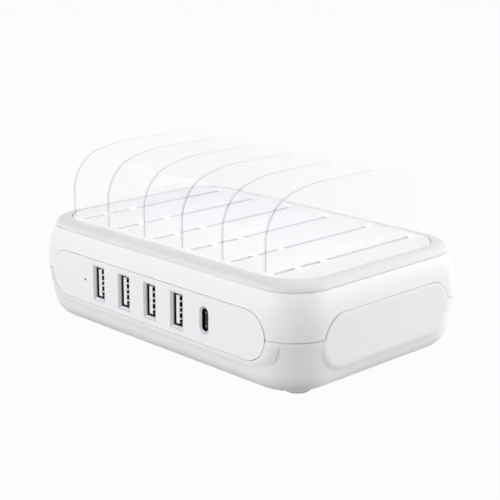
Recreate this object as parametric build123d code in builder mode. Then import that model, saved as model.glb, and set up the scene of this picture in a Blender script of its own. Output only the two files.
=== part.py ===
from build123d import *
from math import cos, radians, sin, tan
import os

os.makedirs("parts", exist_ok=True)

# Outer form, measured at the widest line of the housing
body_length = 153.3
body_depth = 102.4
housing_height = 42.2
corner_radius = 17.5
wall = 2.2

# Housing halves: the joint line, the leaning upper wall and the dished tray below
parting_drop = 20.6
upper_lean = 2.4
lean_power = 3
roof = 2.4
lower_draft = 1.9
base_corner = 20.0
base_round = 9.5
floor = 2.4
lip_height = 1.4
joint_clearance = 0.15
reveal_height = 0.25
reveal_depth = 0.8

# Raised flats on the two ends
side_flat_length = 70.6
side_flat_height = 20.4
side_flat_drop = 22.4
side_flat_depth = 3.0
side_flat_round = 2.0
soft_slope = 31.0

# Front and rear panels, each trapped on the joint line by a rim
panel_length = 124.4
panel_height = 18.8
panel_thickness = 2.6
panel_gap = 0.2
flange_width = 1.3
flange_thickness = 1.6
seat_margin = 1.4
rim_width = 1.6
rim_round = 8.0

# Deck and the bevelled ring round it
deck_inset = 7.8
deck_corner = 15.0
deck_gap = 0.25
deck_bevel = 0.4
trim_height = 3.35
trim_land = 0.4
shadow_gap = 0.35
shadow_depth = 0.5

# Clear dividers with three tabs each
divider_count = 6
divider_end = 21.275
divider_thickness = 1.8
divider_height = 30.4
divider_front = 7.0
divider_back = 10.0
divider_nose_radius = 16.1
divider_nose_turn = 74.0
divider_crown_radius = 67.4
divider_toe = 3.0
tab_margin = 4.5
short_tab = 11.0
tab_space = 2.8
tab_clearance = 0.1

# Feet, and the screws hidden above them
foot_radius = 5.6
foot_height = 2.2
foot_seat = 0.8
foot_bevel = 0.8
foot_clearance = 0.1
foot_inset_x = 16.3
foot_inset_y = 19.4
post_radius = 5.0
post_height = 10.0
screw_radius = 1.5
screw_length = 16.0
screw_head_radius = 2.8
screw_head_height = 2.0
screw_sink = 4.6
screw_clearance = 0.1

# Row of ports in the front panel
port_pitch = 15.7
port_recess = 0.1
port_length = 14.0
usb_a_count = 4
usb_a_mouth_width = 5.12
usb_a_mouth_height = 12.5
shell_sheet = 0.3
window_clearance = 0.1
usb_a_flare = 0.7
usb_a_flare_depth = 1.0
usb_a_block = 2.4
usb_a_tongue_width = 1.84
usb_a_tongue_height = 11.1
usb_a_tongue_offset = 0.72
usb_a_tongue_setback = 1.4
contact_width = 1.0
contact_thickness = 0.35
contact_bulge = 1.1
contact_crest = 0.7
contact_heel = 0.4
contact_setback = 0.1
contact_inner = 2.0
contact_outer = 7.0
usb_c_step = 15.3
usb_c_mouth_width = 2.56
usb_c_mouth_height = 8.34
usb_c_flare = 0.8
usb_c_flare_depth = 0.6
usb_c_block = 3.0
usb_c_tongue_width = 0.7
usb_c_tongue_height = 6.69
usb_c_tongue_setback = 0.9
usb_c_contact_count = 12
usb_c_contact_pitch = 0.5
usb_c_contact_width = 0.25
usb_c_contact_length = 3.4
usb_c_contact_thickness = 0.06
pinhole_radius = 0.55
pinhole_clearance = 0.05
pinhole_offset = 40.4
light_pipe_radius = 1.5
led_size = 2.4
led_thickness = 1.0

# Mains inlet in the rear panel: two round lobes joined by a web, with two pins
inlet_offset = 30.0
inlet_pin_radius = 1.2
inlet_pin_spacing = 8.6
inlet_pin_length = 9.5
inlet_pin_tip = 0.6
inlet_lobe_radius = 4.15
inlet_web_height = 6.2
inlet_cavity = 12.0
inlet_wall = 1.8
inlet_floor = 3.5
inlet_clearance = 0.15
inlet_flange = 1.5
wire_radius = 0.9
wire_reach = 8.0
wire_bend = 4.0

# Circuit boards
board_thickness = 1.6
board_lift = 5.6
board_clearance = 2.3
board_nose = 2.0
board_back_margin = 12.0
board_screw_inset = 5.0
board_screw_room = 1.0
board_hole_radius = 1.6
standoff_radius = 3.2
board_screw_radius = 1.4
board_screw_length = 6.0
board_screw_head_radius = 2.6
board_screw_head_height = 1.6
port_board_margin = 4.0
port_board_cover = 5.0

# Power parts on the main board
core_length = 28.0
core_depth = 13.0
core_height = 21.0
core_yoke = 4.0
core_leg = 4.5
core_centre_leg = 9.0
winding_gap = 0.3
winding_depth = 25.0
winding_round = 4.0
bulk_capacitor_radius = 9.0
bulk_capacitor_headroom = 2.2
output_capacitor_radius = 4.0
output_capacitor_height = 16.0
output_capacitor_count = 4
output_capacitor_space = 1.0
capacitor_bevel = 0.8
choke_radius = 9.0
choke_bore = 4.0
choke_height = 9.0
choke_bevel = 1.6
film_capacitor_length = 18.0
film_capacitor_depth = 8.5
film_capacitor_height = 15.0
film_capacitor_round = 1.0
fuse_radius = 2.6
fuse_length = 10.0
fuse_cap_length = 2.2
fuse_cap_step = 0.3
rectifier_length = 15.0
rectifier_depth = 4.6
rectifier_height = 11.0
rectifier_notch = 2.0
sink_headroom = 5.2
sink_plate = 2.0
sink_fin_count = 5
sink_fin_thickness = 1.4
sink_gap = 1.5
sink_clearance = 1.5
transistor_length = 10.0
transistor_height = 15.0
transistor_depth = 4.5
chip_length = 6.0
chip_width = 5.0
chip_height = 1.5
chip_count = 4
chip_pitch = 16.0
header_length = 20.0
header_size = 2.5
part_margin = 4.0

# Levels and planes worked out from the sizes above
base_z = foot_height
floor_z = base_z + floor
deck_z = base_z + housing_height
parting_z = deck_z - parting_drop
shoulder_z = deck_z - trim_height
pad_z = shoulder_z + shadow_gap
ring_height = deck_z - pad_z
ceiling_z = pad_z - roof
side_flat_z = deck_z - side_flat_drop
seat_depth = panel_thickness + flange_thickness
foot_x = body_length / 2 - foot_inset_x
foot_y = body_depth / 2 - foot_inset_y
post_z = floor_z + post_height
post_places = [(x, y) for x in (-foot_x, foot_x) for y in (-foot_y, foot_y)]
board_z = floor_z + board_lift
board_top = board_z + board_thickness
port_front = -body_depth / 2 + port_recess
port_back = port_front + port_length
panel_back = -body_depth / 2 + seat_depth
board_half = foot_x - post_radius - board_clearance
board_front = port_back - board_nose
board_back = body_depth / 2 - seat_depth - board_back_margin
board_middle = (port_back + board_thickness + board_back) / 2
divider_pitch = (body_length - 2 * divider_end) / (divider_count - 1)
divider_places = [divider_end - body_length / 2 + k * divider_pitch for k in range(divider_count)]
divider_length = body_depth - divider_front - divider_back
divider_centre = (divider_front - divider_back) / 2
usb_a_places = [(k - usb_a_count / 2) * port_pitch for k in range(usb_a_count)]
usb_c_place = usb_a_places[-1] + usb_c_step
on_floor = (Align.CENTER, Align.CENTER, Align.MIN)


def face_plane(side):
    """Plane of the front (-1) or rear (+1) panel, looking out of the housing."""
    return Plane(origin=(0, side * body_depth / 2, parting_z), x_dir=(-side, 0, 0), z_dir=(0, side, 0))


def end_plane(side):
    """Plane of the left (-1) or right (+1) raised flat, looking out of the housing."""
    return Plane(origin=(side * body_length / 2, 0, side_flat_z), x_dir=(0, side, 0), z_dir=(side, 0, 0))


def upper_form(inset, top):
    """Upper wall as a solid, leaning in more and more towards the shoulder."""
    with BuildPart() as form:
        for level in [parting_z + (top - parting_z) * k / 3 for k in range(4)]:
            lean = inset + upper_lean * ((level - parting_z) / (shoulder_z - parting_z)) ** lean_power
            with BuildSketch(Plane.XY.offset(level)):
                RectangleRounded(body_length - 2 * lean, body_depth - 2 * lean, corner_radius - inset)
        loft()
    return form.part


def lower_form(inset, bottom, edge_round):
    """Lower tray as a solid, with its large round along the bottom edge."""
    foot = inset + lower_draft
    with BuildPart() as form:
        with BuildSketch(Plane.XY.offset(bottom)):
            RectangleRounded(body_length - 2 * foot, body_depth - 2 * foot, base_corner - inset)
        with BuildSketch(Plane.XY.offset(parting_z)):
            RectangleRounded(body_length - 2 * inset, body_depth - 2 * inset, corner_radius - inset)
        loft(ruled=True)
        fillet(form.faces().sort_by(Axis.Z)[0].edges(), edge_round)
    return form.part


def joint_lip(outer, inner, height):
    """Low wall that runs along the joint line between the halves."""
    with BuildPart() as lip:
        with BuildSketch(Plane.XY.offset(parting_z)):
            RectangleRounded(body_length - 2 * outer, body_depth - 2 * outer, corner_radius - outer)
            RectangleRounded(
                body_length - 2 * inner, body_depth - 2 * inner, corner_radius - inner, mode=Mode.SUBTRACT
            )
        extrude(amount=height)
    return lip.part


def panel_seat(side, keep):
    """Upper or lower half of the block behind the wall that holds a panel."""
    with BuildPart() as seat:
        with BuildSketch(face_plane(side).offset(-wall / 2)):
            SlotOverall(panel_length + 2 * seat_margin, panel_height + 2 * seat_margin)
        extrude(amount=wall / 2 - seat_depth)
        split(bisect_by=Plane.XY.offset(parting_z), keep=keep)
    return seat.part


def soft_rise(plane, length, height, edge_round):
    """Raised flat of the tray below the joint line, whose sides slope softly into the wall."""
    spread = 2 * wall / tan(radians(soft_slope))
    with BuildPart() as rise:
        with BuildSketch(plane):
            SlotOverall(length, height)
        with BuildSketch(plane.offset(-wall)):
            SlotOverall(length + spread, height + spread)
        loft(ruled=True)
        fillet(rise.faces().sort_by(Axis((0, 0, 0), plane.z_dir))[-1].edges(), edge_round)
        split(bisect_by=Plane.XY.offset(parting_z), keep=Keep.BOTTOM)
    return rise.part


def panel_opening(side):
    """Space for a panel: the window in the rim and the wider room behind it for the flange."""
    room = 2 * (panel_gap + flange_width)
    with BuildPart() as opening:
        with BuildSketch(face_plane(side).offset(wall)):
            SlotOverall(panel_length + 2 * panel_gap, panel_height + 2 * panel_gap)
        extrude(amount=-wall - seat_depth)
        with BuildSketch(face_plane(side).offset(-panel_thickness)):
            SlotOverall(panel_length + room, panel_height + room)
        extrude(amount=-2 * flange_thickness)
    return opening.part


def side_tongue(side):
    """Part of a raised flat that stands above the joint line, in the notch of the upper wall."""
    with BuildPart() as tongue:
        with BuildSketch(end_plane(side)):
            SlotOverall(side_flat_length, side_flat_height)
        extrude(amount=-side_flat_depth)
        split(bisect_by=Plane.XY.offset(parting_z), keep=Keep.TOP)
    return tongue.part


def side_notch(side):
    """Room for a raised flat in the upper wall."""
    with BuildPart() as notch:
        with BuildSketch(end_plane(side).offset(wall)):
            SlotOverall(side_flat_length + 2 * joint_clearance, side_flat_height + 2 * joint_clearance)
        extrude(amount=-wall - side_flat_depth - joint_clearance)
    return notch.part


def inlet_outline(growth):
    """Outline of the mains inlet: a lobe round each pin, joined by a web."""
    with BuildSketch(Plane.XY) as outline:
        with GridLocations(inlet_pin_spacing, 1, 2, 1):
            Circle(inlet_lobe_radius + growth)
        Rectangle(inlet_pin_spacing, inlet_web_height + 2 * growth)
    return outline.sketch


# Lower housing: a dished tray with a lip, screw posts, board standoffs and the two raised flats
standoff_x = board_half - board_screw_inset
standoff_front = port_back + board_thickness + board_screw_head_radius + board_screw_room
standoff_ys = (standoff_front, board_back - board_screw_inset)
standoff_places = [(x, y) for x in (-standoff_x, standoff_x) for y in standoff_ys]
rim_length = panel_length + 2 * rim_width
rim_height = panel_height + 2 * rim_width
with BuildPart() as lower_housing:
    add(lower_form(0, base_z, base_round))
    add(lower_form(wall, floor_z, base_round - wall), mode=Mode.SUBTRACT)
    add(joint_lip(wall / 2 + joint_clearance, wall, lip_height))
    for side in (-1, 1):
        add(panel_seat(side, Keep.BOTTOM))
        add(soft_rise(face_plane(side), rim_length, rim_height, rim_round))
        add(soft_rise(end_plane(side), side_flat_length, side_flat_height, side_flat_round))
        add(side_tongue(side))
    with Locations(*[(x, y, floor_z) for x, y in post_places]):
        Cylinder(post_radius, post_height, align=on_floor)
    with Locations(*[(x, y, floor_z) for x, y in standoff_places]):
        Cylinder(standoff_radius, board_lift, align=on_floor)
    for side in (-1, 1):
        add(panel_opening(side), mode=Mode.SUBTRACT)
    with Locations(*[(x, y, base_z) for x, y in post_places]):
        Cylinder(foot_radius + foot_clearance, foot_seat, align=on_floor, mode=Mode.SUBTRACT)
        Cylinder(screw_head_radius + screw_clearance, screw_sink, align=on_floor, mode=Mode.SUBTRACT)
        Cylinder(screw_radius + screw_clearance, post_z - base_z, align=on_floor, mode=Mode.SUBTRACT)
    with Locations(*[(x, y, floor_z) for x, y in standoff_places]):
        Cylinder(
            board_screw_radius + screw_clearance, board_lift, align=on_floor, mode=Mode.SUBTRACT
        )
lower_housing.part.label = "lower_housing"
export_step(lower_housing.part, "parts/lower_housing.step")

# Upper housing: a leaning wall with a closed roof, long screw posts and a low pad for ring and deck
pad_inset = upper_lean + shadow_depth
with BuildPart() as upper_housing:
    add(upper_form(0, shoulder_z))
    with BuildSketch(Plane.XY.offset(shoulder_z)):
        RectangleRounded(
            body_length - 2 * pad_inset, body_depth - 2 * pad_inset, corner_radius - shadow_depth
        )
    extrude(amount=shadow_gap)
    add(upper_form(wall, ceiling_z), mode=Mode.SUBTRACT)
    for side in (-1, 1):
        add(panel_seat(side, Keep.TOP))
    with Locations(*[(x, y, post_z) for x, y in post_places]):
        Cylinder(post_radius, ceiling_z - post_z, align=on_floor)
    add(joint_lip(wall / 2, wall + joint_clearance, lip_height + joint_clearance), mode=Mode.SUBTRACT)
    add(joint_lip(-joint_clearance, reveal_depth, reveal_height), mode=Mode.SUBTRACT)
    for side in (-1, 1):
        add(panel_opening(side), mode=Mode.SUBTRACT)
        add(side_notch(side), mode=Mode.SUBTRACT)
    with Locations(*[(x, y, post_z) for x, y in post_places]):
        Cylinder(screw_radius + screw_clearance, screw_length, align=on_floor, mode=Mode.SUBTRACT)
upper_housing.part.label = "upper_housing"
export_step(upper_housing.part, "parts/upper_housing.step")

# Rubber feet, pressed into round seats over the screws
with BuildPart() as feet:
    with Locations(*[(x, y, 0) for x, y in post_places]):
        Cylinder(foot_radius, foot_height + foot_seat, align=on_floor)
    chamfer(feet.edges().group_by(Axis.Z)[0], foot_bevel)
feet.part.label = "feet"
export_step(feet.part, "parts/feet.step")

# Four screws that pull the halves together from below
head_z = base_z + screw_sink - screw_head_height
with BuildPart() as housing_screws:
    with Locations(*[(x, y, head_z) for x, y in post_places]):
        Cylinder(screw_head_radius, screw_head_height, align=on_floor)
        Cylinder(screw_radius, screw_head_height + screw_length, align=on_floor)
housing_screws.part.label = "housing_screws"
export_step(housing_screws.part, "parts/housing_screws.step")

# Bevelled ring: a quarter-round from the shoulder up and over to the edge of the deck
with BuildPart() as trim_ring:
    for angle in (0, 30, 60, 90):
        roll = 1 - cos(radians(angle))
        inset = upper_lean + (deck_inset - trim_land - upper_lean) * roll
        corner = corner_radius + (deck_corner + trim_land - corner_radius) * roll
        with BuildSketch(Plane.XY.offset(pad_z + ring_height * sin(radians(angle)))):
            RectangleRounded(body_length - 2 * inset, body_depth - 2 * inset, corner)
    loft()
    with BuildSketch(Plane.XY.offset(pad_z)):
        RectangleRounded(body_length - 2 * deck_inset, body_depth - 2 * deck_inset, deck_corner)
    extrude(amount=ring_height, mode=Mode.SUBTRACT)
trim_ring.part.label = "trim_ring"
export_step(trim_ring.part, "parts/trim_ring.step")

# Each divider stands on one long and two short tabs, given as start and length from its centre
half_divider = divider_length / 2
first_tab = tab_margin - half_divider
second_tab = first_tab + short_tab + tab_space
third_tab = second_tab + short_tab + tab_space
tabs = [(first_tab, short_tab), (second_tab, short_tab), (third_tab, half_divider - tab_margin - third_tab)]

# Deck: a flat plate with the slots that take the divider tabs
deck_edge = deck_inset + deck_gap
with BuildPart() as top_deck:
    with BuildSketch(Plane.XY.offset(pad_z)):
        RectangleRounded(body_length - 2 * deck_edge, body_depth - 2 * deck_edge, deck_corner - deck_gap)
    extrude(amount=ring_height)
    chamfer(top_deck.faces().sort_by(Axis.Z)[-1].edges(), deck_bevel)
    with BuildSketch(Plane.XY.offset(pad_z)):
        for start, length in tabs:
            with Locations(*[(x, divider_centre + start + length / 2) for x in divider_places]):
                Rectangle(divider_thickness + 2 * tab_clearance, length + 2 * tab_clearance)
    extrude(amount=ring_height, mode=Mode.SUBTRACT)
top_deck.part.label = "top_deck"
export_step(top_deck.part, "parts/top_deck.step")

# Clear dividers: a rounded toe, a nose that rises straight, then rounds over into a nearly flat crown
nose_rise = divider_nose_radius * sin(radians(divider_nose_turn))
crown_rise = divider_crown_radius * (1 - sin(radians(divider_nose_turn)))
for number, x in enumerate(divider_places, start=1):
    sheet_origin = (x - divider_thickness / 2, divider_centre, deck_z)
    sheet = Plane(origin=sheet_origin, x_dir=(0, 1, 0), z_dir=(1, 0, 0))
    with BuildPart() as divider:
        with BuildSketch(sheet):
            with BuildLine():
                bottom = Line((0, 0), (divider_toe - half_divider, 0))
                toe = JernArc(bottom @ 1, (-1, 0), divider_toe, -90)
                front = Line(toe @ 1, (-half_divider, divider_height - nose_rise - crown_rise))
                nose = JernArc(front @ 1, (0, 1), divider_nose_radius, -divider_nose_turn)
                crown = JernArc(nose @ 1, nose % 1, divider_crown_radius, divider_nose_turn - 90)
                Line(crown @ 1, (0, divider_height))
                mirror(about=Plane.YZ)
            make_face()
            for start, length in tabs:
                with Locations((start, -ring_height)):
                    Rectangle(length, ring_height, align=(Align.MIN, Align.MIN))
        extrude(amount=divider_thickness)
    divider.part.label = f"divider_{number}"
    export_step(divider.part, f"parts/divider_{number}.step")

# Front panel: a long rounded plate with a wider flange behind, windows for the ports and a pinhole
usb_a_room = 2 * (shell_sheet + usb_a_flare + window_clearance)
usb_c_room = 2 * (shell_sheet + usb_c_flare + window_clearance)
with BuildPart() as front_panel:
    with BuildSketch(face_plane(-1)):
        SlotOverall(panel_length, panel_height)
    extrude(amount=-panel_thickness)
    with BuildSketch(face_plane(-1).offset(-panel_thickness)):
        SlotOverall(panel_length + 2 * flange_width, panel_height + 2 * flange_width)
    extrude(amount=-flange_thickness)
    with BuildSketch(face_plane(-1)):
        with Locations(*[(x, 0) for x in usb_a_places]):
            Rectangle(usb_a_mouth_width + usb_a_room, usb_a_mouth_height + usb_a_room)
        with Locations((usb_c_place, 0)):
            SlotOverall(usb_c_mouth_height + usb_c_room, usb_c_mouth_width + usb_c_room, rotation=90)
        with Locations((-pinhole_offset, 0)):
            Circle(pinhole_radius)
    extrude(amount=-seat_depth, mode=Mode.SUBTRACT)
front_panel.part.label = "front_panel"
export_step(front_panel.part, "parts/front_panel.step")

# Rear panel: the same plate, with one window for the mains inlet
inlet_frame = face_plane(1)
inlet_place = (inlet_offset, 0)
inlet_depth = inlet_cavity + inlet_floor
with BuildPart() as rear_panel:
    with BuildSketch(inlet_frame):
        SlotOverall(panel_length, panel_height)
    extrude(amount=-panel_thickness)
    with BuildSketch(inlet_frame.offset(-panel_thickness)):
        SlotOverall(panel_length + 2 * flange_width, panel_height + 2 * flange_width)
    extrude(amount=-flange_thickness)
    with BuildSketch(inlet_frame):
        with Locations(inlet_place):
            add(inlet_outline(inlet_wall + inlet_clearance))
    extrude(amount=-seat_depth, mode=Mode.SUBTRACT)
rear_panel.part.label = "rear_panel"
export_step(rear_panel.part, "parts/rear_panel.step")

# Mains inlet: a moulded socket with a flange that seats against the back of the rear panel
with BuildPart() as ac_inlet:
    with BuildSketch(inlet_frame):
        with Locations(inlet_place):
            add(inlet_outline(inlet_wall))
    extrude(amount=-inlet_depth)
    with BuildSketch(inlet_frame.offset(-seat_depth)):
        with Locations(inlet_place):
            add(inlet_outline(inlet_wall + inlet_flange))
    extrude(amount=-inlet_flange)
    with BuildSketch(inlet_frame):
        with Locations(inlet_place):
            add(inlet_outline(0))
    extrude(amount=-inlet_cavity, mode=Mode.SUBTRACT)
    with BuildSketch(inlet_frame.offset(-inlet_cavity)):
        with Locations(inlet_place):
            with GridLocations(inlet_pin_spacing, 1, 2, 1):
                Circle(inlet_pin_radius)
    extrude(amount=-inlet_floor, mode=Mode.SUBTRACT)
ac_inlet.part.label = "ac_inlet"
export_step(ac_inlet.part, "parts/ac_inlet.step")

# Blunt-nosed inlet pins, moulded into the floor of the socket
with BuildPart() as inlet_pins:
    with BuildSketch(inlet_frame.offset(-inlet_depth)):
        with Locations(inlet_place):
            with GridLocations(inlet_pin_spacing, 1, 2, 1):
                Circle(inlet_pin_radius)
    extrude(amount=inlet_floor + inlet_pin_length)
    chamfer(inlet_pins.edges().group_by(Axis.Y)[-1], inlet_pin_tip)
inlet_pins.part.label = "inlet_pins"
export_step(inlet_pins.part, "parts/inlet_pins.step")

# Insulated wires from the back of the inlet down to the main board
inlet_back = body_depth / 2 - inlet_depth
with BuildPart() as inlet_wires:
    for offset_x in (-inlet_pin_spacing / 2, inlet_pin_spacing / 2):
        x = offset_x - inlet_offset
        with BuildLine() as route:
            FilletPolyline(
                (x, inlet_back, parting_z),
                (x, inlet_back - wire_reach, parting_z),
                (x, inlet_back - wire_reach, board_top),
                radius=wire_bend,
            )
        with BuildSketch(Plane(origin=(x, inlet_back, parting_z), z_dir=(0, -1, 0))):
            Circle(wire_radius)
        sweep(path=route.wires()[0])
inlet_wires.part.label = "inlet_wires"
export_step(inlet_wires.part, "parts/inlet_wires.step")

def usb_a_form(mouth_plane, growth):
    """Inside of a type A shell, grown by a thickness: a straight box that flares out at its mouth."""
    width = usb_a_mouth_width + 2 * growth
    height = usb_a_mouth_height + 2 * growth
    with BuildPart() as form:
        with BuildSketch(mouth_plane.offset(-port_length)):
            Rectangle(width, height)
        extrude(amount=port_length - usb_a_flare_depth)
        with BuildSketch(mouth_plane.offset(-usb_a_flare_depth)):
            Rectangle(width, height)
        with BuildSketch(mouth_plane):
            Rectangle(width + 2 * usb_a_flare, height + 2 * usb_a_flare)
        loft(ruled=True)
    return form.part


# Upright type A ports: a flared sheet shell, a moulded block with its tongue, and four sprung contacts
tongue_left = usb_a_tongue_offset - usb_a_mouth_width / 2
block_front = port_back - usb_a_block
tongue_front = port_front + usb_a_tongue_setback
contact_length = block_front - tongue_front - contact_setback
contact_levels = [side * reach / 2 for reach in (contact_inner, contact_outer) for side in (-1, 1)]
for number, x in enumerate(usb_a_places, start=1):
    mouth_plane = Plane(origin=(x, port_front, parting_z), x_dir=(1, 0, 0), z_dir=(0, -1, 0))
    with BuildPart() as usb_a_shell:
        add(usb_a_form(mouth_plane, shell_sheet))
        add(usb_a_form(mouth_plane, 0), mode=Mode.SUBTRACT)
    usb_a_shell.part.label = f"usb_a_shell_{number}"
    export_step(usb_a_shell.part, f"parts/usb_a_shell_{number}.step")

    with BuildPart() as usb_a_tongue:
        with BuildSketch(mouth_plane.offset(-port_length)):
            Rectangle(usb_a_mouth_width, usb_a_mouth_height)
        extrude(amount=usb_a_block)
        with BuildSketch(mouth_plane.offset(-port_length)):
            with Locations((tongue_left, 0)):
                Rectangle(usb_a_tongue_width, usb_a_tongue_height, align=(Align.MIN, Align.CENTER))
        extrude(amount=port_length - usb_a_tongue_setback)
    usb_a_tongue.part.label = f"usb_a_tongue_{number}"
    export_step(usb_a_tongue.part, f"parts/usb_a_tongue_{number}.step")

    contact_face = x + tongue_left + usb_a_tongue_width
    with BuildPart() as usb_a_contacts:
        for level in contact_levels:
            strip_plane = Plane(origin=(contact_face, block_front, parting_z + level - contact_width / 2))
            with BuildSketch(strip_plane):
                with BuildLine():
                    back = Line((contact_thickness, 0), (0, 0))
                    inner = Line(back @ 1, (0, -contact_length))
                    nose = Line(inner @ 1, (contact_thickness, -contact_length))
                    bow = ThreePointArc(
                        nose @ 1,
                        (contact_thickness + contact_bulge, -contact_length * contact_crest),
                        (contact_thickness, -contact_length * contact_heel),
                    )
                    Line(bow @ 1, back @ 0)
                make_face()
            extrude(amount=contact_width)
    usb_a_contacts.part.label = f"usb_a_contacts_{number}"
    export_step(usb_a_contacts.part, f"parts/usb_a_contacts_{number}.step")

usb_c_plane = Plane(origin=(usb_c_place, port_front, parting_z), x_dir=(0, 0, 1), z_dir=(0, -1, 0))


def usb_c_form(growth):
    """Inside of the type C shell, grown by a thickness: a straight oval that flares out at its mouth."""
    height = usb_c_mouth_height + 2 * growth
    width = usb_c_mouth_width + 2 * growth
    with BuildPart() as form:
        with BuildSketch(usb_c_plane.offset(-port_length)):
            SlotOverall(height, width)
        extrude(amount=port_length - usb_c_flare_depth)
        with BuildSketch(usb_c_plane.offset(-usb_c_flare_depth)):
            SlotOverall(height, width)
        with BuildSketch(usb_c_plane):
            SlotOverall(height + 2 * usb_c_flare, width + 2 * usb_c_flare)
        loft(ruled=True)
    return form.part


# Upright type C port: a drawn oval shell, a thin tongue on its block and two rows of flush contacts
with BuildPart() as usb_c_shell:
    add(usb_c_form(shell_sheet))
    add(usb_c_form(0), mode=Mode.SUBTRACT)
usb_c_shell.part.label = "usb_c_shell"
export_step(usb_c_shell.part, "parts/usb_c_shell.step")

with BuildPart() as usb_c_tongue:
    with BuildSketch(usb_c_plane.offset(-port_length)):
        SlotOverall(usb_c_mouth_height, usb_c_mouth_width)
    extrude(amount=usb_c_block)
    with BuildSketch(usb_c_plane.offset(-port_length)):
        Rectangle(usb_c_tongue_height, usb_c_tongue_width)
    extrude(amount=port_length - usb_c_tongue_setback)
usb_c_tongue.part.label = "usb_c_tongue"
export_step(usb_c_tongue.part, "parts/usb_c_tongue.step")

usb_c_contact_front = usb_c_plane.offset(-usb_c_tongue_setback - usb_c_contact_width)
contact_rows = usb_c_tongue_width + usb_c_contact_thickness
with BuildPart() as usb_c_contacts:
    with BuildSketch(usb_c_contact_front):
        with GridLocations(usb_c_contact_pitch, contact_rows, usb_c_contact_count, 2):
            Rectangle(usb_c_contact_width, usb_c_contact_thickness)
    extrude(amount=-usb_c_contact_length)
usb_c_contacts.part.label = "usb_c_contacts"
export_step(usb_c_contacts.part, "parts/usb_c_contacts.step")

# Port board: stands on the main board and carries the ports and the status lamp
port_board_half = pinhole_offset + port_board_margin
with BuildPart() as port_board:
    with BuildSketch(Plane(origin=(0, port_back, board_top), x_dir=(1, 0, 0), z_dir=(0, -1, 0))):
        port_board_top = parting_z + usb_a_mouth_height / 2 + port_board_cover
        Rectangle(2 * port_board_half, port_board_top - board_top, align=(Align.CENTER, Align.MIN))
    extrude(amount=-board_thickness)
port_board.part.label = "port_board"
export_step(port_board.part, "parts/port_board.step")

# Status lamp on the port board, and the clear rod that carries its light to the pinhole
lamp_plane = Plane(origin=(-pinhole_offset, port_back, parting_z), x_dir=(1, 0, 0), z_dir=(0, -1, 0))
lamp_gap = port_back - led_thickness - panel_back
with BuildPart() as status_lamp:
    with BuildSketch(lamp_plane):
        Rectangle(led_size, led_size)
    extrude(amount=led_thickness)
status_lamp.part.label = "status_lamp"
export_step(status_lamp.part, "parts/status_lamp.step")

with BuildPart() as light_pipe:
    with BuildSketch(lamp_plane.offset(led_thickness)):
        Circle(light_pipe_radius)
    extrude(amount=lamp_gap)
    with BuildSketch(lamp_plane.offset(led_thickness)):
        Circle(pinhole_radius - pinhole_clearance)
    extrude(amount=lamp_gap + seat_depth - port_recess)
light_pipe.part.label = "light_pipe"
export_step(light_pipe.part, "parts/light_pipe.step")

# Main board on its four standoffs
with BuildPart() as main_board:
    with BuildSketch(Plane.XY.offset(board_z)):
        with Locations((0, board_front)):
            Rectangle(2 * board_half, board_back - board_front, align=(Align.CENTER, Align.MIN))
        with Locations(*standoff_places):
            Circle(board_hole_radius, mode=Mode.SUBTRACT)
    extrude(amount=board_thickness)
main_board.part.label = "main_board"
export_step(main_board.part, "parts/main_board.step")

with BuildPart() as board_screws:
    with Locations(*[(x, y, board_top) for x, y in standoff_places]):
        Cylinder(board_screw_head_radius, board_screw_head_height, align=on_floor)
        Cylinder(board_screw_radius, board_screw_length, align=(Align.CENTER, Align.CENTER, Align.MAX))
board_screws.part.label = "board_screws"
export_step(board_screws.part, "parts/board_screws.step")

# Header in the corner between the two boards
with BuildPart() as board_header:
    with Locations((0, port_back + board_thickness, board_top)):
        Box(header_length, header_size, header_size, align=(Align.CENTER, Align.MIN, Align.MIN))
board_header.part.label = "board_header"
export_step(board_header.part, "parts/board_header.step")

# Places on the main board: the power stage fills the room between chips, choke and capacitors
chip_y = port_back + board_thickness + header_size + part_margin
chip_back = chip_y + chip_width / 2
choke_x = -choke_radius
choke_y = board_back - part_margin / 2 - choke_radius
film_x = part_margin + film_capacitor_length / 2
bulk_x = part_margin + bulk_capacitor_radius - board_half
bulk_y = board_middle - bulk_capacitor_radius
output_x = board_half - part_margin - output_capacitor_radius
stage_x = bulk_capacitor_radius - output_capacitor_radius
stage_y = (choke_y - choke_radius + chip_back) / 2
stage_half = board_half - part_margin - bulk_capacitor_radius - output_capacitor_radius
stage_depth = choke_y - choke_radius - chip_back
stage_height = ceiling_z - board_top

# Charging chips behind the port board, one for each pair of ports and two for the power stage
with BuildPart() as charging_chips:
    with Locations((0, chip_y, board_top)):
        with GridLocations(chip_pitch, 1, chip_count, 1):
            Box(chip_length, chip_width, chip_height, align=on_floor)
charging_chips.part.label = "charging_chips"
export_step(charging_chips.part, "parts/charging_chips.step")

# Transformer: a ferrite core with two windows, and the winding round its centre leg
window_height = core_height - 2 * core_yoke
window_width = (core_length - 2 * core_leg - core_centre_leg) / 2
core_plane = Plane(
    origin=(stage_x, stage_y - core_depth / 2, board_top), x_dir=(1, 0, 0), z_dir=(0, -1, 0)
)
with BuildPart() as transformer_core:
    with BuildSketch(core_plane):
        Rectangle(core_length, core_height, align=(Align.CENTER, Align.MIN))
        with Locations((0, core_height / 2)):
            with GridLocations(core_centre_leg + window_width, 1, 2, 1):
                Rectangle(window_width, window_height, mode=Mode.SUBTRACT)
    extrude(amount=-core_depth)
transformer_core.part.label = "transformer_core"
export_step(transformer_core.part, "parts/transformer_core.step")

winding_length = core_length - 2 * core_leg - 2 * winding_gap
with BuildPart() as transformer_winding:
    with BuildSketch(Plane.XY.offset(board_top + core_yoke)):
        with Locations((stage_x, stage_y)):
            RectangleRounded(winding_length, winding_depth, winding_round)
            Rectangle(
                core_centre_leg + 2 * winding_gap, core_depth + 2 * winding_gap, mode=Mode.SUBTRACT
            )
    extrude(amount=window_height)
transformer_winding.part.label = "transformer_winding"
export_step(transformer_winding.part, "parts/transformer_winding.step")

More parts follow.
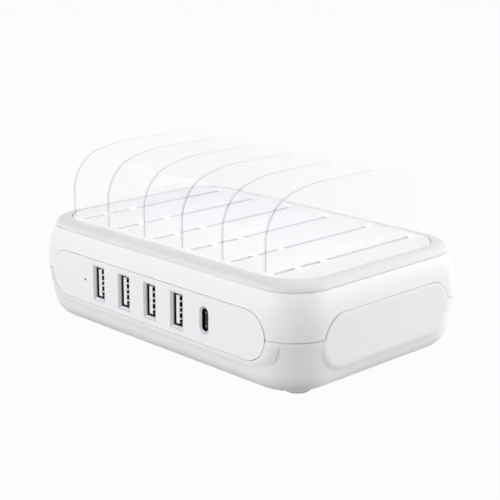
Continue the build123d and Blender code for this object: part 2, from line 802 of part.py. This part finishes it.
# Finned heat sinks on both sides of the transformer, with a power transistor flat on each plate
sink_reach = core_length / 2 + sink_gap + transistor_depth + sink_plate / 2
sink_fin = stage_half - sink_reach - sink_plate / 2 - sink_clearance
sink_length = stage_depth - 2 * sink_clearance
sink_places = [(stage_x + side * sink_reach, side) for side in (-1, 1)]
fin_pitch = (sink_length - sink_fin_thickness) / (sink_fin_count - 1)
with BuildPart() as heat_sinks:
    for x, side in sink_places:
        with BuildSketch(Plane.XY.offset(board_top)):
            with Locations((x, stage_y)):
                Rectangle(sink_plate, sink_length)
            with Locations((x + side * (sink_plate + sink_fin) / 2, stage_y)):
                with GridLocations(1, fin_pitch, 1, sink_fin_count):
                    Rectangle(sink_fin, sink_fin_thickness)
        extrude(amount=stage_height - sink_headroom)
heat_sinks.part.label = "heat_sinks"
export_step(heat_sinks.part, "parts/heat_sinks.step")

with BuildPart() as power_transistors:
    for x, side in sink_places:
        with Locations((x - side * (sink_plate + transistor_depth) / 2, stage_y, board_top)):
            Box(transistor_depth, transistor_length, transistor_height, align=on_floor)
power_transistors.part.label = "power_transistors"
export_step(power_transistors.part, "parts/power_transistors.step")

# Mains side: bulk capacitor, bridge rectifier, choke, film capacitor and fuse
with BuildPart() as bulk_capacitor:
    with Locations((bulk_x, bulk_y, board_top)):
        Cylinder(bulk_capacitor_radius, stage_height - bulk_capacitor_headroom, align=on_floor)
    chamfer(bulk_capacitor.edges().group_by(Axis.Z)[-1], capacitor_bevel)
bulk_capacitor.part.label = "bulk_capacitor"
export_step(bulk_capacitor.part, "parts/bulk_capacitor.step")

rectifier_y = bulk_y + bulk_capacitor_radius + part_margin + rectifier_length / 2
with BuildPart() as bridge_rectifier:
    with BuildSketch(Plane(origin=(bulk_x, rectifier_y, board_top), x_dir=(0, 1, 0), z_dir=(1, 0, 0))):
        Rectangle(rectifier_length, rectifier_height, align=(Align.CENTER, Align.MIN))
        chamfer(vertices().sort_by(Axis.Y)[-2:].sort_by(Axis.X)[-1], rectifier_notch)
    extrude(amount=rectifier_depth)
bridge_rectifier.part.label = "bridge_rectifier"
export_step(bridge_rectifier.part, "parts/bridge_rectifier.step")

with BuildPart() as line_choke:
    with BuildSketch(Plane.XZ.offset(-choke_y)) as choke_section:
        with Locations((choke_x + choke_bore, board_top)):
            Rectangle(choke_radius - choke_bore, choke_height, align=(Align.MIN, Align.MIN))
        chamfer(choke_section.vertices(), choke_bevel)
    revolve(axis=Axis((choke_x, choke_y, 0), (0, 0, 1)))
line_choke.part.label = "line_choke"
export_step(line_choke.part, "parts/line_choke.step")

with BuildPart() as film_capacitor:
    with Locations((film_x, choke_y, board_top)):
        Box(film_capacitor_length, film_capacitor_depth, film_capacitor_height, align=on_floor)
    fillet(film_capacitor.edges().filter_by(Axis.Z), film_capacitor_round)
film_capacitor.part.label = "film_capacitor"
export_step(film_capacitor.part, "parts/film_capacitor.step")

fuse_x = part_margin + fuse_radius - board_half
with BuildPart() as line_fuse:
    with BuildSketch(Plane(origin=(fuse_x, rectifier_y, board_top + fuse_radius), z_dir=(0, 1, 0))):
        Circle(fuse_radius - fuse_cap_step)
    extrude(amount=fuse_length / 2, both=True)
    for side in (-1, 1):
        cap_y = rectifier_y + side * (fuse_length - fuse_cap_length) / 2
        with BuildSketch(Plane(origin=(fuse_x, cap_y, board_top + fuse_radius), z_dir=(0, 1, 0))):
            Circle(fuse_radius)
        extrude(amount=fuse_cap_length / 2, both=True)
line_fuse.part.label = "line_fuse"
export_step(line_fuse.part, "parts/line_fuse.step")

# Row of output capacitors along the low-voltage edge of the board
output_pitch = 2 * output_capacitor_radius + output_capacitor_space
with BuildPart() as output_capacitors:
    with Locations((output_x, board_middle, board_top)):
        with GridLocations(1, output_pitch, 1, output_capacitor_count):
            Cylinder(output_capacitor_radius, output_capacitor_height, align=on_floor)
    chamfer(output_capacitors.edges().group_by(Axis.Z)[-1], capacitor_bevel)
output_capacitors.part.label = "output_capacitors"
export_step(output_capacitors.part, "parts/output_capacitors.step")
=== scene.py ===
import math
import bpy
from mathutils import Matrix, Vector


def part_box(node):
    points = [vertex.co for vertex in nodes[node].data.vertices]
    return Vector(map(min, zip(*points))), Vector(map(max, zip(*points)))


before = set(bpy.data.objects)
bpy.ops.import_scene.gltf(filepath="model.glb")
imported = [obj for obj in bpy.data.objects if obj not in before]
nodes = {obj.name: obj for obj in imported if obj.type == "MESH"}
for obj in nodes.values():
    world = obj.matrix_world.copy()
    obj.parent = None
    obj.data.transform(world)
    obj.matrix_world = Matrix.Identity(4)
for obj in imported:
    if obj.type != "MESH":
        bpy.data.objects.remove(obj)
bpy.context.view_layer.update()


# Lower housing: a dished tray, injection moulded in white plastic from a tool with a fine spark-eroded skin.
# It carries the boards on standoffs, and the raised flat of each end crosses the joint line above it.
class Wire:
    """One output of a shader node. Arithmetic on it adds the Math nodes that the sum needs."""

    def __init__(self, finish, socket):
        self.finish = finish
        self.socket = socket

    def math(self, operation, *terms):
        return self.finish.node("ShaderNodeMath", {"operation": operation}, dict(enumerate(terms)))

    def __add__(self, other):
        return self.math("ADD", self, other)

    def __sub__(self, other):
        return self.math("SUBTRACT", self, other)

    def __rsub__(self, other):
        return self.math("SUBTRACT", other, self)

    def __mul__(self, other):
        return self.math("MULTIPLY", self, other)

    def __truediv__(self, other):
        return self.math("DIVIDE", self, other)

    def __gt__(self, other):
        return self.math("GREATER_THAN", self, other)

    def __lt__(self, other):
        return self.math("LESS_THAN", self, other)

    def __abs__(self):
        return self.math("ABSOLUTE", self)

    def fraction(self):
        return self.math("FRACT", self)

    def either(self, other):
        """One where this or the other is one."""
        return self.math("MAXIMUM", self, other)

    __radd__ = __add__
    __rmul__ = __mul__


class Finish:
    """The shader nodes of one material, or of the air round the object."""

    def __init__(self, owner, shader="Principled BSDF"):
        owner.use_nodes = True
        self.owner = owner
        self.tree = owner.node_tree
        self.shader = self.tree.nodes[shader]

    def node(self, kind, settings=None, sockets=None, output=0):
        """Adds a node: its settings first, then the values or wires of its sockets."""
        made = self.tree.nodes.new(kind)
        for name, value in (settings or {}).items():
            setattr(made, name, value)
        for name, value in (sockets or {}).items():
            self.feed(made.inputs[name], value)
        return Wire(self, made.outputs[output])

    def feed(self, socket, value):
        if isinstance(value, Wire):
            self.tree.links.new(value.socket, socket)
        else:
            socket.default_value = value

    def place(self):
        """The point's place on the object, in metres."""
        return self.node("ShaderNodeTexCoord", output="Object")

    def along(self, axis, vector=None):
        """One component of a vector: of the point's place, unless another is given."""
        return self.node("ShaderNodeSeparateXYZ", {}, {0: vector or self.place()}, output=axis)

    def facing(self, axis):
        """How far the surface looks along an axis, from -1 to 1."""
        return self.along(axis, self.node("ShaderNodeNewGeometry", output="Normal"))

    def noise(self, cell, detail=2.0, stretch=(1, 1, 1)):
        """Cloudy values about 0.5, with cells of the given size in metres."""
        place = self.node("ShaderNodeMapping", {}, {"Vector": self.place(), "Scale": stretch})
        return self.node("ShaderNodeTexNoise", {}, {"Vector": place, "Scale": 1 / cell, "Detail": detail})

    def mix(self, share, first, second):
        """Blends two colours."""
        return self.node("ShaderNodeMix", {"data_type": "RGBA"}, {0: share, 6: first, 7: second}, output=2)

    def bump(self, height, depth, round_over=0.0):
        """Turns a height of 0 to 1 into a relief of that depth in metres, with creases eased by a radius."""
        crease_samples = 6
        sockets = {"Height": height, "Distance": depth}
        if round_over:
            sockets["Normal"] = self.node(
                "ShaderNodeBevel", {"samples": crease_samples}, {"Radius": round_over}
            )
        return self.node("ShaderNodeBump", {}, sockets)

    def coat(self, **values):
        """Sets sockets of the shader: Base_Color=..., Roughness=..."""
        for name, value in values.items():
            self.feed(self.shader.inputs[name.replace("_", " ")], value)
        return self.owner


def material(name):
    return Finish(bpy.data.materials.new(name))


def tone(red, green, blue):
    """Linear colour of a screen colour from 0 to 255."""
    parts = [value / 255 for value in (red, green, blue)]
    return (*[p / 12.92 if p <= 0.04045 else ((p + 0.055) / 1.055) ** 2.4 for p in parts], 1)


def moulded(name, light, dark, roughness, gloss=0.25, relief=0.000004, round_over=0.0):
    """Moulded plastic: faint flow clouds in its colour and gloss, over a fine eroded skin."""
    cloud_cell, skin_cell = 0.018, 0.00022
    gloss_spread = 0.12
    plastic = material(name)
    flow_clouds = plastic.noise(cloud_cell, detail=3)
    skin = plastic.noise(skin_cell, detail=1)
    return plastic.coat(
        Base_Color=plastic.mix(flow_clouds, dark, light),
        Roughness=roughness + gloss_spread * (flow_clouds - 0.5),
        Specular_IOR_Level=gloss,
        Normal=plastic.bump(skin, relief, round_over),
    )


def dress(finish, *names):
    for name in names:
        nodes[name].data.materials.clear()
        nodes[name].data.materials.append(finish)


white_light, white_dark = tone(247, 247, 249), tone(244, 244, 246)
white_roughness = 0.42
crease_radius = 0.0025
tray_white = moulded("tray_white", white_light, white_dark, white_roughness, round_over=crease_radius)
dress(tray_white, "lower_housing")


# Main board: green fibre laminate with etched copper under the lacquer, which shows as paler tracks.
# Four zinc-plated screws hold it on the standoffs of the tray.
def laminate(name):
    track_step, weave_share = 0.00003, 0.2
    board = material(name)
    tracks = board.node(
        "ShaderNodeTexBrick",
        {"offset": 0.37, "squash": 1.6, "squash_frequency": 3},
        {"Vector": board.place(), "Scale": 60.0, "Mortar Size": 0.03, "Brick Width": 0.9, "Row Height": 0.2},
        output="Fac",
    )
    weave = board.noise(cell=0.0006, detail=1)
    lacquer = board.mix(weave, tone(22, 86, 46), tone(30, 98, 54))
    return board.coat(
        Base_Color=board.mix(tracks, lacquer, tone(66, 138, 78)),
        Roughness=0.3 + 0.14 * weave,
        Normal=board.bump(tracks + weave_share * weave, track_step),
    )


def metal(name, light, dark, roughness, stretch):
    """Bare or plated metal with fine drawing marks; a stretch below 1 draws them out along that axis."""
    mark_cell, mark_depth = 0.0004, 0.000002
    gloss_spread = 0.16
    plate = material(name)
    marks = plate.noise(mark_cell, detail=3, stretch=stretch)
    return plate.coat(
        Base_Color=plate.mix(marks, dark, light),
        Metallic=1.0,
        Roughness=roughness + gloss_spread * (marks - 0.5),
        Normal=plate.bump(marks, mark_depth),
    )


green_laminate = laminate("green_laminate")
zinc_plate = metal(
    "zinc_plate", tone(206, 208, 212), tone(176, 178, 184), roughness=0.36, stretch=(1, 1, 0.1)
)
dress(green_laminate, "main_board")
dress(zinc_plate, "board_screws")

# Mains side of the board: a moulded bridge rectifier, a dipped choke ring, a boxed film capacitor and a fuse
# with pressed end caps on a ceramic tube, all soldered through the board.
black_epoxy = moulded(
    "black_epoxy", tone(44, 44, 46), tone(30, 30, 32), roughness=0.5, gloss=0.5, relief=0.00001
)
film_yellow = moulded("film_yellow", tone(226, 190, 74), tone(214, 174, 58), roughness=0.34, gloss=0.5)
dress(black_epoxy, "bridge_rectifier", "line_choke")
dress(film_yellow, "film_capacitor")

fuse_cap = 0.0022
fuse_low, fuse_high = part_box("line_fuse")
fuse_middle = (fuse_low[1] + fuse_high[1]) / 2
fuse_reach = (fuse_high[1] - fuse_low[1]) / 2 - fuse_cap
fuse = material("capped_fuse")
cap = abs(fuse.along("Y") - fuse_middle) > fuse_reach
glaze = fuse.noise(cell=0.001)
ceramic = fuse.mix(glaze, tone(222, 216, 204), tone(232, 228, 218))
dress(
    fuse.coat(
        Base_Color=fuse.mix(cap, ceramic, tone(204, 205, 208)),
        Metallic=cap,
        Roughness=0.28 + 0.1 * glaze,
    ),
    "line_fuse",
)


# Capacitor cans: drawn aluminium in a dark shrink sleeve with one pale stripe for the negative side.
# The sleeve stops at the bevelled rim, so the top shows bare metal.
def sleeved_can(node, stripe_width):
    bare_rim = 0.0007
    ripple = 0.00008
    low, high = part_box(node)
    can = material(f"{node}_sleeve")
    shrink = can.noise(cell=0.003, detail=2, stretch=(1, 1, 0.3))
    stripe = can.along("X") > high[0] - stripe_width
    bare = can.along("Z") > high[2] - bare_rim
    sleeve = can.mix(stripe, can.mix(shrink, tone(24, 28, 44), tone(34, 38, 56)), tone(150, 156, 170))
    dress(
        can.coat(
            Base_Color=can.mix(bare, sleeve, tone(206, 207, 210)),
            Metallic=bare,
            Roughness=0.26 + 0.12 * shrink,
            Normal=can.bump(shrink, ripple),
        ),
        node,
    )


sleeved_can("bulk_capacitor", stripe_width=0.0016)
sleeved_can("output_capacitors", stripe_width=0.0008)

# Transformer: two sintered ferrite halves glued together, with the winding on their centre leg.
# The winding is wrapped in overlapping turns of amber tape.
pore_depth = 0.00003
ferrite = material("sintered_ferrite")
pores = ferrite.noise(cell=0.0005, detail=4)
dress(
    ferrite.coat(
        Base_Color=ferrite.mix(pores, tone(58, 58, 62), tone(76, 76, 80)),
        Roughness=0.55 + 0.2 * pores,
        Normal=ferrite.bump(pores, pore_depth),
    ),
    "transformer_core",
)

tape_width, tape_step = 0.0065, 0.00008
wrinkle_share = 0.4
tape = material("amber_tape")
wrap = (tape.along("Z") / tape_width).fraction()
wrinkle = tape.noise(cell=0.004, detail=3, stretch=(1, 1, 3))
dress(
    tape.coat(
        Base_Color=tape.mix(wrap, tone(226, 176, 62), tone(208, 152, 40)),
        Roughness=0.2 + 0.15 * wrinkle,
        Normal=tape.bump(wrap + wrinkle_share * wrinkle, tape_step),
    ),
    "transformer_winding",
)

# Heat sinks: cut from extruded aluminium, with the drawing lines of the die along the fins.
# A moulded power transistor is clamped flat on each plate.
drawn_aluminium = metal(
    "drawn_aluminium", tone(226, 227, 230), tone(204, 205, 209), roughness=0.34, stretch=(1, 1, 0.04)
)
dress(drawn_aluminium, "heat_sinks")
dress(black_epoxy, "power_transistors", "charging_chips")

# Port board: the same laminate, stood upright at the front and joined to the main board by a header.
# It carries the ports, the lamp chip and the rod that leads its light to the pinhole, the rod painted near
# black as the pinhole's shade.
dress(green_laminate, "port_board")
dress(black_epoxy, "board_header")

lens_reach = 0.0008
lamp_low, lamp_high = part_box("status_lamp")
lamp_middle = (lamp_low[0] + lamp_high[0]) / 2
lamp = material("lamp_chip")
gel = abs(lamp.along("X") - lamp_middle) < lens_reach
gel_clouds = lamp.noise(cell=0.0005)
gel_yellow = lamp.mix(gel_clouds, tone(226, 204, 96), tone(234, 216, 120))
dress(
    lamp.coat(
        Base_Color=lamp.mix(gel, tone(240, 240, 236), gel_yellow),
        Roughness=0.3 + 0.2 * gel_clouds,
    ),
    "status_lamp",
)
# Painted shade: the rod's near-black colour stands for the shade seen in the pinhole.
rod = material("rod_painted_dark_shade")
rod_haze = rod.noise(cell=0.002)
dress(
    rod.coat(
        Base_Color=rod.mix(rod_haze, tone(30, 30, 34), tone(42, 42, 46)),
        Roughness=0.2 + 0.2 * rod_haze,
        Transmission_Weight=0.5,
        IOR=1.49,
    ),
    "light_pipe",
)

# Type A ports: each a folded steel shell with a flared mouth, round a tongue with four sprung contacts.
# The white tongue is painted black between its nose and ends as shade, and the contacts are painted dark as
# shade except their plated crowns, which stand out.
port_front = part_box("usb_a_shell_1")[0][1]
port_middle = (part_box("usb_a_shell_1")[0][2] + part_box("usb_a_shell_1")[1][2]) / 2


def mouth_steel(name, lip_light, lip_dark, lower_lip, dullness, shade_depth, deep_shade_colour):
    """Plated sheet painted with light and shade: a bright lip, duller upright walls darkening inwards as
    painted shade, and painted shade behind.
    """
    least_facing = 0.3
    wall_light, wall_dark, wall_shade_end = tone(206, 206, 210), tone(194, 194, 198), tone(60, 60, 63)
    steel = material(name)
    marks = steel.noise(cell=0.0004, detail=3, stretch=(1, 0.08, 1))
    # Painted light and shade: colour by facing, darkening with depth, and dark beyond the shade depth.
    upright = abs(steel.facing("X")) > least_facing
    upward = steel.facing("Z") > least_facing
    sunk = (steel.along("Y") - port_front) / shade_depth
    lip = steel.mix(upward, steel.mix(marks, lip_dark, lip_light), lower_lip)
    wall = steel.mix(sunk * sunk * sunk, steel.mix(marks, wall_dark, wall_light), wall_shade_end)
    return steel.coat(
        Base_Color=steel.mix(sunk > 1, steel.mix(upright, lip, wall), deep_shade_colour),
        Metallic=1.0,
        Roughness=dullness + 0.16 * marks,
    )


# Painted shade in the mouth: the upright walls darken inwards, to mid grey deep inside.
port_steel = mouth_steel(
    "port_steel",
    lip_light=tone(220, 221, 223),
    lip_dark=tone(210, 211, 213),
    lower_lip=tone(226, 226, 229),
    dullness=0.34,
    shade_depth=0.001,
    deep_shade_colour=tone(120, 120, 124),
)

tongue_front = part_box("usb_a_tongue_1")[0][1]
nose_depth, tongue_end, tongue_relief = 0.001, 0.0051, 0.000004
front_facing = -0.5
tongue = material("port_tongue")
nose = (tongue.facing("Y") < front_facing) * (tongue.along("Y") < tongue_front + nose_depth)
# Painted shade: all of the tongue but its white nose and ends is painted black.
white_unshaded_part = nose.either(abs(tongue.along("Z") - port_middle) > tongue_end)
tongue_grain = tongue.noise(cell=0.0003, detail=1)
tongue_white = tongue.mix(tongue_grain, tone(240, 240, 241), tone(246, 246, 246))
port_tongue = tongue.coat(
    Base_Color=tongue.mix(white_unshaded_part, tone(22, 22, 24), tongue_white),
    Roughness=0.38 + 0.1 * tongue_grain,
    Normal=tongue.bump(tongue_grain, tongue_relief),
)

inner_contact, outer_contact = 0.001, 0.0035
contact_middle, contact_step = (inner_contact + outer_contact) / 2, (outer_contact - inner_contact) / 2
crown_width = 0.00068
contact = material("contact_painted_shade")
rise = abs(contact.along("Z") - port_middle)
crown = abs(abs(rise - contact_middle) - contact_step) < crown_width / 2
rolled = contact.noise(cell=0.0004, detail=3, stretch=(1, 0.1, 1))
plating = contact.mix(rolled, tone(232, 231, 228), tone(240, 239, 236))
contact_painted_shade = contact.coat(
    # Painted shade: each contact is dark except its plated crown.
    Base_Color=contact.mix(crown, tone(40, 40, 42), plating),
    Metallic=1.0,
    Roughness=0.24 + 0.12 * rolled,
)
for number in range(1, 5):
    dress(port_steel, f"usb_a_shell_{number}")
    dress(port_tongue, f"usb_a_tongue_{number}")
    dress(contact_painted_shade, f"usb_a_contacts_{number}")

# Type C port: a drawn oval steel shell, painted near black behind its dull flared mouth as painted shade,
# round a thin black tongue with flush contacts on both faces. The steel plate inside the tongue shows at two
# spots of its nose.
# Painted shade: near black deep inside the shell, with dull grey mouth colours.
c_shell_painted_shade = mouth_steel(
    "c_shell_painted_shade",
    lip_light=tone(186, 186, 190),
    lip_dark=tone(176, 176, 180),
    lower_lip=tone(184, 184, 188),
    dullness=0.62,
    shade_depth=0.0004,
    deep_shade_colour=tone(24, 24, 27),
)
dress(c_shell_painted_shade, "usb_c_shell")

spot_place, spot_length = 0.0026, 0.0007
slim_tongue = material("slim_tongue")
spot_miss = abs(abs(slim_tongue.along("Z") - port_middle) - spot_place)
plate_spot = (slim_tongue.facing("Y") < front_facing) * (spot_miss < spot_length / 2)
slim_grain = slim_tongue.noise(cell=0.0003, detail=1)
slim_black = slim_tongue.mix(slim_grain, tone(14, 14, 16), tone(22, 22, 24))
dress(
    slim_tongue.coat(
        Base_Color=slim_tongue.mix(plate_spot, slim_black, tone(122, 122, 126)),
        Roughness=0.36 + 0.12 * slim_grain,
    ),
    "usb_c_tongue",
)
contact_plate = metal(
    "contact_plate", tone(240, 238, 232), tone(230, 228, 221), roughness=0.3, stretch=(1, 0.1, 1)
)
dress(contact_plate, "usb_c_contacts")

# Front and rear panels: flat satin plates with round ends, moulded from the same plastic as the housing.
# A flange behind each one is trapped between the two housing halves.
panel_white = moulded(
    "panel_white", tone(248, 248, 250), tone(246, 246, 248), roughness=0.36, relief=0.000002
)
dress(panel_white, "front_panel", "rear_panel")

# Mains inlet: a black heat-resistant moulding round two plated pins, seated behind the rear panel.
# Two insulated wires lead from the pins to the board, one brown and one blue.
inlet_black = moulded("inlet_black", tone(46, 46, 48), tone(36, 36, 38), roughness=0.44, gloss=0.5)
pin_nickel = metal(
    "pin_nickel", tone(218, 214, 204), tone(198, 194, 184), roughness=0.24, stretch=(1, 0.1, 1)
)
dress(inlet_black, "ac_inlet")
dress(pin_nickel, "inlet_pins")

wire_ripple = 0.00002
wire_low, wire_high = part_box("inlet_wires")
insulation = material("wire_insulation")
live = insulation.along("X") > (wire_low[0] + wire_high[0]) / 2
drawn = insulation.noise(cell=0.0015, detail=2)
dress(
    insulation.coat(
        Base_Color=insulation.mix(live, tone(40, 84, 150), tone(116, 70, 42)),
        Roughness=0.3 + 0.2 * drawn,
        Normal=insulation.bump(drawn, wire_ripple),
    ),
    "inlet_wires",
)

# Upper housing: the leaning upper shell in the same white plastic, from a tool with the same skin.
# It drops over the lip of the tray, and four screws from below pull the halves together.
housing_white = moulded("housing_white", white_light, white_dark, white_roughness)
dress(housing_white, "upper_housing")
dress(zinc_plate, "housing_screws")

# Feet: plugs of soft, pale, half-clear rubber, pressed into round seats in the base.
# Each one hides a housing screw.
dust_depth = 0.00002
rubber = material("pale_rubber")
dust = rubber.noise(cell=0.0008, detail=3)
dress(
    rubber.coat(
        Base_Color=rubber.mix(dust, tone(232, 232, 234), tone(240, 240, 241)),
        Roughness=0.6 + 0.2 * dust,
        Transmission_Weight=0.75,
        IOR=1.4,
        Normal=rubber.bump(dust, dust_depth),
    ),
    "feet",
)

# Ring: a quarter-round trim in pale grey satin plastic, laid on the shoulder of the upper housing.
# It frames the deck and is clipped from below.
ring_grey = moulded("ring_grey", tone(232, 232, 234), tone(229, 229, 231), roughness=0.42, relief=0.000001)
dress(ring_grey, "trim_ring")

# Deck: the white plate that the devices stand on, with three slots under each divider.
# It lies inside the ring, with a narrow gap all round.
deck_white = moulded("deck_white", tone(249, 249, 251), tone(247, 247, 249), roughness=0.4)
dress(deck_white, "top_deck")

# Dividers: cut from clear acrylic sheet with polished edges, and stood in the deck on three tabs.
# They are almost invisible and cast no shadow. Their edges are tinted grey as painted shade, with a darker
# painted shade line that fades to the rear, and their seated tabs and bottom edges are tinted darker as
# painted shade.
divider_names = [f"divider_{number}" for number in range(1, 7)]
divider_low, divider_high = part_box("divider_1")
sheet_thickness = divider_high[0] - divider_low[0]
divider_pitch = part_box("divider_2")[0][0] - divider_low[0]
deck_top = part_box("top_deck")[1][2]
side_facing, down_facing = 0.7, -0.5
line_place, line_reach = 0.65, 0.2
row_margin = 0.001
# Painted shade: the seated tabs, the edges, their grey line and the bottom edge are tinted darker.
face_tint, seated_shade_tint = (0.985, 0.985, 0.99, 1), (0.92, 0.92, 0.925, 1)
edge_shade_tint, shade_line_tint = (0.86, 0.86, 0.865, 1), (0.5, 0.5, 0.51, 1)
rear_tint, under_shade_tint = (1, 1, 1, 1), (0.95, 0.95, 0.955, 1)
acrylic = material("clear_sheet")
haze = acrylic.noise(cell=0.01, detail=2)
edge = abs(acrylic.facing("X")) < side_facing
under_edge = acrylic.facing("Z") < down_facing
seated = acrylic.along("Z") < deck_top
to_rear = (acrylic.along("Y") - divider_low[1]) / (divider_high[1] - divider_low[1])
row_place = (acrylic.along("X") - divider_low[0]) / divider_pitch + row_margin
across = row_place.fraction() * (divider_pitch / sheet_thickness)
painted_shade_line = abs(across - line_place) < line_reach
upper_edge_shade = acrylic.mix(to_rear, acrylic.mix(painted_shade_line, edge_shade_tint, shade_line_tint), rear_tint)
face = acrylic.mix(seated, face_tint, seated_shade_tint)
clear_sheet = acrylic.coat(
    Base_Color=acrylic.mix(edge, face, acrylic.mix(under_edge, upper_edge_shade, under_shade_tint)),
    Roughness=0.01 + 0.02 * haze,
    Transmission_Weight=1.0,
    IOR=1.0,
    Coat_Weight=0.5 - 0.5 * edge,
    Coat_IOR=1.49,
    Coat_Roughness=0.02,
)
dress(clear_sheet, *divider_names)
for name in divider_names:
    nodes[name].visible_shadow = False


# Set: a white sweep. The floor and the air behind it are white to the camera, in gloss and through the clear
# sheets, while soft boxes light the object at a plain level and leave its shadow on the floor.
def shown(finish):
    """One for rays that show a surface to the camera, straight, in gloss or through glass, else zero."""
    camera_ray, gloss_ray, glass_ray, matt_bounces = [
        finish.node("ShaderNodeLightPath", output=output)
        for output in ("Is Camera Ray", "Is Glossy Ray", "Is Transmission Ray", "Diffuse Depth")
    ]
    return camera_ray.either(gloss_ray).either(glass_ray) * (matt_bounces < 1)


floor_reach = 3.0
floor_white = 0.97
paper_colour = (0.45, 0.45, 0.455, 1)
glow_colour = (0.995, 0.995, 1, 1)
floor_mesh = bpy.data.meshes.new("floor")
floor_corners = [(x, y, 0) for x, y in ((-1, -1), (1, -1), (1, 1), (-1, 1))]
floor_mesh.from_pydata([Vector(corner) * floor_reach for corner in floor_corners], [], [(0, 1, 2, 3)])
floor = bpy.data.objects.new("floor", floor_mesh)
bpy.context.scene.collection.objects.link(floor)
paper = material("white_paper")
fibres = paper.noise(cell=0.002)
paper.coat(Base_Color=paper_colour, Roughness=0.8 + 0.1 * fibres)
glow = paper.node("ShaderNodeEmission", {}, {"Color": glow_colour, "Strength": 1.0})
paper_shader = Wire(paper, paper.shader.outputs[0])
sweep = paper.node("ShaderNodeMixShader", {}, {0: floor_white * shown(paper), 1: paper_shader, 2: glow})
paper.feed(paper.tree.nodes["Material Output"].inputs["Surface"], sweep)
floor_mesh.materials.append(paper.owner)

air_level = 0.13
studio_air = bpy.data.worlds.new("studio_air")
bpy.context.scene.world = studio_air
air = Finish(studio_air, "Background")
air.coat(Color=glow_colour, Strength=air_level + (1 - air_level) * shown(air))

box_distance = 1.0
lit_middle = Vector((0, 0, 0.03))


def direction(azimuth, elevation):
    """Direction from the object, with azimuth 0 at its front and 90 at its right end."""
    turn, rise = math.radians(azimuth), math.radians(elevation)
    return Vector((math.sin(turn) * math.cos(rise), -math.cos(turn) * math.cos(rise), math.sin(rise)))


def softbox(name, azimuth, elevation, width, height, watts):
    """A soft box that looks at the object from a direction in degrees. Clear sheets don't show it."""
    data = bpy.data.lights.new(name, "AREA")
    data.shape = "RECTANGLE"
    data.size = width
    data.size_y = height
    data.energy = watts
    box = bpy.data.objects.new(name, data)
    box.location = lit_middle + box_distance * direction(azimuth, elevation)
    box.rotation_euler = direction(azimuth, elevation).to_track_quat("Z", "Y").to_euler()
    box.visible_transmission = False
    bpy.context.scene.collection.objects.link(box)


strip_width, strip_height, top_size = 0.9, 0.4, 0.8
softbox("front", azimuth=-10, elevation=24, width=strip_width, height=strip_height, watts=7.5)
softbox("right", azimuth=128, elevation=15, width=strip_width, height=strip_height, watts=6.9)
softbox("rear", azimuth=165, elevation=36, width=strip_width, height=strip_height, watts=3.3)
softbox("top", azimuth=0, elevation=90, width=top_size, height=top_size, watts=1.5)

# Camera: a long lens at the front right, a little above the deck.
# Its angles, in degrees, are those of the edges in the photograph.
image_pixels = 500
focal_pixels = 1298.29
camera_azimuth, camera_elevation, camera_roll = 45.537, 15.570, 0.347
camera_place = Vector((0.36621, -0.35674, 0.17703))
camera_data = bpy.data.cameras.new("camera")
camera_data.lens = focal_pixels / image_pixels * camera_data.sensor_width
camera = bpy.data.objects.new("camera", camera_data)
back = direction(camera_azimuth, camera_elevation)
level_right = Vector((0, 0, 1)).cross(back).normalized()
level_up = back.cross(level_right)
tilt = math.radians(camera_roll)
right = level_right * math.cos(tilt) + level_up * math.sin(tilt)
up = back.cross(right)
camera.matrix_world = Matrix.Translation(camera_place) @ Matrix((right, up, back)).transposed().to_4x4()
bpy.context.scene.collection.objects.link(camera)
bpy.context.scene.camera = camera
bpy.context.scene.view_settings.view_transform = "Standard"
